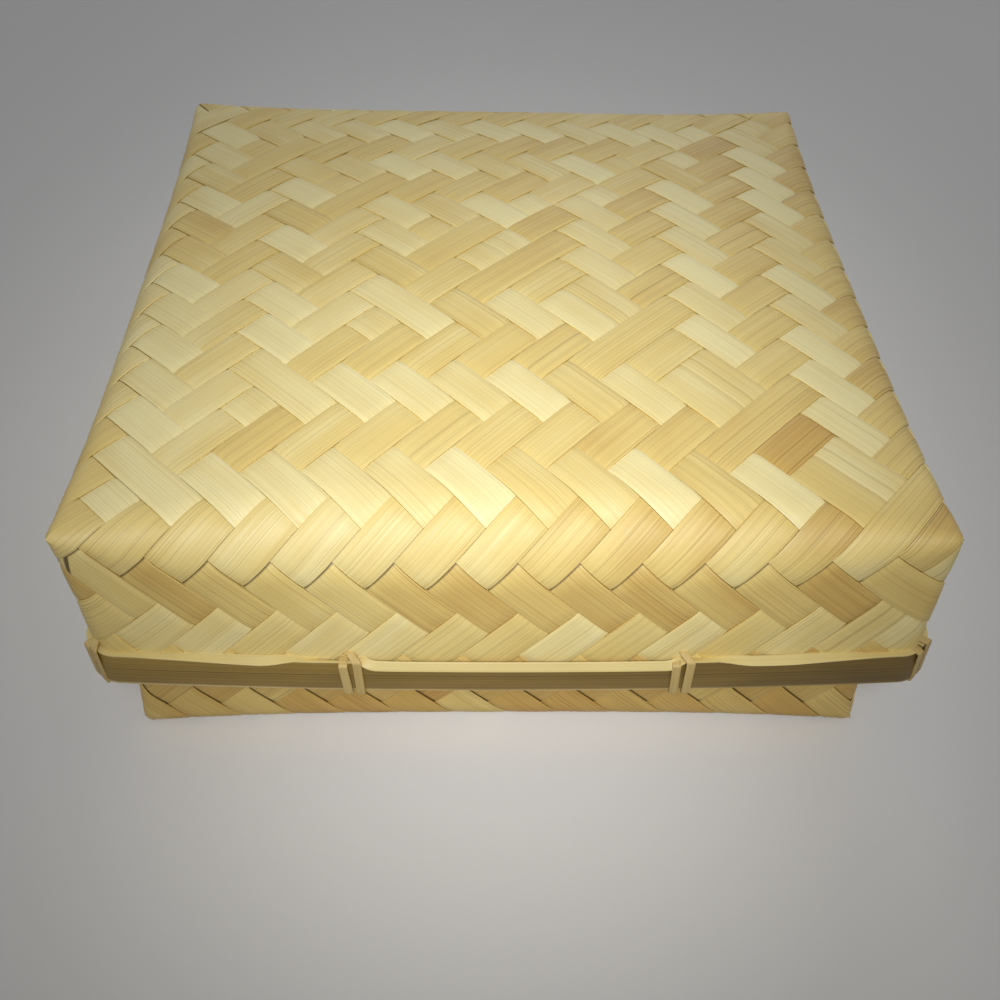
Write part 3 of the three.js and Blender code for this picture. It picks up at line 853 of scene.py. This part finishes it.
class Socket:
    """An output of a shader node that can be used in sums."""

    def __init__(self, shader, output):
        self.shader = shader
        self.output = output

    def maths(self, operation, first, second):
        return self.shader.node("ShaderNodeMath", {"operation": operation}, {0: first, 1: second})

    def __add__(self, other):
        return self.maths("ADD", self, other)

    def __sub__(self, other):
        return self.maths("SUBTRACT", self, other)

    def __mul__(self, other):
        return self.maths("MULTIPLY", self, other)

    def __truediv__(self, other):
        return self.maths("DIVIDE", self, other)


class Shader:
    """A material and its nodes."""

    def __init__(self, name):
        self.material = bpy.data.materials.new(name)
        self.material.use_nodes = True
        self.tree = self.material.node_tree
        self.surface = self.tree.nodes["Principled BSDF"]

    def link(self, value, target):
        if isinstance(value, Socket):
            self.tree.links.new(value.output, target)
        else:
            target.default_value = value

    def node(self, kind, settings=None, values=None, output=0):
        made = self.tree.nodes.new(kind)
        for key, value in (settings or {}).items():
            setattr(made, key, value)
        for key, value in (values or {}).items():
            self.link(value, made.inputs[key])
        return Socket(self, made.outputs[output])

    def measure(self):
        """How far along and across its strip a point lies, in millimetres."""
        place = self.node("ShaderNodeUVMap", {"uv_map": "strip"})
        return [self.node("ShaderNodeSeparateXYZ", None, {0: place}, axis) for axis in (0, 1)]

    def grain(self, along, across, length, width, seed):
        """Noise drawn out along the fibres, about 0.5."""
        place = self.node("ShaderNodeCombineXYZ", None,
                          {0: along / length, 1: across / width, 2: seed})
        return self.node("ShaderNodeTexNoise", None,
                         {"Vector": place, "Scale": 1.0, "Detail": 1.0, "Roughness": 0.5})

    def steps(self, value, low, high, to_low=0.0, to_high=1.0):
        return self.node("ShaderNodeMapRange", {"interpolation_type": "SMOOTHSTEP"},
                         {0: value, 1: low, 2: high, 3: to_low, 4: to_high})

    def mix(self, first, second, share):
        return self.node("ShaderNodeMix", {"data_type": "RGBA"}, {0: share, 6: first, 7: second}, 2)

    def set(self, **values):
        for key, value in values.items():
            self.link(value, self.surface.inputs[key.replace("_", " ")])


def colour(red, green, blue):
    """A colour as it's read off a screen, from 0 to 255, made linear."""
    parts = [value / 255 for value in (red, green, blue)]
    return tuple(((p + 0.055) / 1.055) ** 2.4 if p > 0.04 else p / 12.92 for p in parts) + (1.0,)


# %% Bamboo
# Each grain's length and width in millimetres, and its seed.
PATCHES = (26, 9, 3.0)
STREAKS = (400, 0.7, 11.0)
THREADS = (900, 0.15, 23.0)
DARK_THREADS = (500, 0.24, 37.0)

PATCHINESS = 0.6
STREAKINESS = 0.3
SHADE_STEP = 0.5
SHADE_OVERLAP = 0.05
SHADED_ROUGHNESS = (-0.06, 0.08)
FINE_LINES = (0.48, 0.72)
FINE_SHARE = 0.45
SPARSE_LINES = (0.60, 0.74)

# How strongly the lines show at tone 0, and how much more at tone 1.
FINE_BY_TONE = (0.5, 0.7)
SPARSE_BY_TONE = (0.4, 0.8)

SLIT_SHADOW_HIDDEN = (-2.0, -0.8)
SLIT_SHADOW_FADES = (0.1, 0.8)
SLIT_SHADOW_DARKNESS = 0.9
SLIT_SHADOW_COLOUR = colour(70, 48, 14)


def bamboo(name, shades, fibre, lines, roughness=0.5):
    """Bamboo whose shades go from its palest, at tone 0, in steps of a half."""
    shader = Shader(name)
    along, across = shader.measure()
    tone = shader.node("ShaderNodeAttribute", {"attribute_name": "tone"}, output=2)
    shown = shader.node("ShaderNodeAttribute", {"attribute_name": "shown"}, output=2)
    patches = shader.grain(along, across, *PATCHES)
    streaks = shader.grain(along, across, *STREAKS)
    threads = shader.grain(along, across, *THREADS)
    dark = shader.grain(along, across, *DARK_THREADS)
    golden = tone + (patches - 0.5) * PATCHINESS + (streaks - 0.5) * STREAKINESS
    shade = shades[0]
    for number, next_shade in enumerate(shades[1:]):
        low, high = number * SHADE_STEP, (number + 1) * SHADE_STEP
        share = shader.steps(golden, low - SHADE_OVERLAP, high + SHADE_OVERLAP)
        shade = shader.mix(shade, next_shade, share)
    fine = shader.steps(threads, *FINE_LINES) * (lines * FINE_SHARE)
    sparse = shader.steps(dark, *SPARSE_LINES) * lines
    shade = shader.mix(shade, fibre, fine * (tone * FINE_BY_TONE[1] + FINE_BY_TONE[0]))
    shade = shader.mix(shade, fibre, sparse * (tone * SPARSE_BY_TONE[1] + SPARSE_BY_TONE[0]))
    # Painted shadow: a dark line where the strip comes out from under another.
    slit_shadow = shader.steps(shown, *SLIT_SHADOW_HIDDEN) - shader.steps(shown, *SLIT_SHADOW_FADES)
    shade = shader.mix(shade, SLIT_SHADOW_COLOUR, slit_shadow * SLIT_SHADOW_DARKNESS)
    bump = shader.node("ShaderNodeBump", None,
                       {"Strength": 0.25, "Distance": 0.0001, "Height": threads - dark * 0.5})
    least, most = (roughness + change for change in SHADED_ROUGHNESS)
    shader.set(Base_Color=shade, Normal=bump,
               Roughness=shader.steps(streaks, 0.2, 0.8, least, most))
    return shader.material


woven = bamboo(
    "woven_bamboo",
    [colour(252, 238, 176), colour(238, 212, 132), colour(214, 176, 96), colour(206, 156, 78)],
    colour(136, 102, 46), lines=0.7,
)
bark = bamboo(
    "bamboo_bark",
    [colour(238, 214, 152), colour(164, 135, 66), colour(136, 110, 50), colour(94, 74, 32)],
    colour(58, 44, 18), lines=0.9, roughness=0.42,
)
split = bamboo("split_bamboo", [colour(238, 210, 146), colour(222, 188, 122), colour(190, 150, 88)],
               colour(130, 96, 48), lines=0.4, roughness=0.6)
binding = bamboo("binding_strip",
                 [colour(238, 220, 158), colour(222, 202, 134), colour(198, 168, 104)],
                 colour(150, 116, 62), lines=0.3)

dressed = ((strips, woven), (bark_bands, bark), (inner_bands, split), (bindings, binding))
for pieces, material in dressed:
    for piece in pieces:
        piece.data.materials.clear()
        piece.data.materials.append(material)
    print(material.name, "dresses", len(pieces), "pieces")

# %% [markdown]
# ## Floor and light
#
# A plain pale floor, and soft light from above and in front. It is near enough to fall off towards
# the sides and the back of the lid. A weak lamp behind the box keeps its back from going dull.
# Lengths here are in metres.

# %% Floor and light
FLOOR_SIZE = 8
FLOOR_AS_LIT = (0.40, 0.39, 0.37, 1)
FLOOR_AS_SEEN = (0.96, 0.96, 0.96, 1)
SKY_LEVEL = 0.23
SKY_SEEN = 0.62
LAMP_SPREAD = 38


def seen_directly(tree):
    """An output that is 1 where the camera, a mirror or glass shows the surface."""
    rays = tree.nodes.new("ShaderNodeLightPath")
    seen = rays.outputs["Is Camera Ray"]
    for ray in ("Is Glossy Ray", "Is Transmission Ray"):
        either = tree.nodes.new("ShaderNodeMath")
        either.operation = "MAXIMUM"
        tree.links.new(seen, either.inputs[0])
        tree.links.new(rays.outputs[ray], either.inputs[1])
        seen = either.outputs[0]
    return seen


bpy.ops.mesh.primitive_plane_add(size=FLOOR_SIZE)
floor = bpy.context.object
floor.name = "floor"

ground = Shader("floor")
seen = Socket(ground, seen_directly(ground.tree))
ground.set(Base_Color=ground.mix(FLOOR_AS_LIT, FLOOR_AS_SEEN, seen), Roughness=0.9)
floor.data.materials.append(ground.material)

world = bpy.data.worlds.new("studio")
scene.world = world
world.use_nodes = True
sky_light = world.node_tree.nodes["Background"]
sky_light.inputs["Color"].default_value = (1, 1, 1, 1)
sky = world.node_tree
level = sky.nodes.new("ShaderNodeMapRange")
level.inputs["To Min"].default_value = SKY_LEVEL
level.inputs["To Max"].default_value = SKY_SEEN
sky.links.new(seen_directly(sky), level.inputs["Value"])
sky.links.new(level.outputs["Result"], sky_light.inputs["Strength"])


def lamp(name, place, aim, size, power):
    bpy.ops.object.light_add(type="AREA", location=place)
    light = bpy.context.object
    light.name = name
    light.data.size = size
    light.data.energy = power
    light.data.spread = math.radians(LAMP_SPREAD)
    light.rotation_euler = (Vector(place) - Vector(aim)).to_track_quat("Z", "Y").to_euler()


lamp("key", place=(-0.01, -0.34, 0.36), aim=(0, -0.065, 0.075), size=0.14, power=0.095)
lamp("fill", place=(0.15, 0.60, 0.40), aim=(0, 0, 0.05), size=0.5, power=0.06)
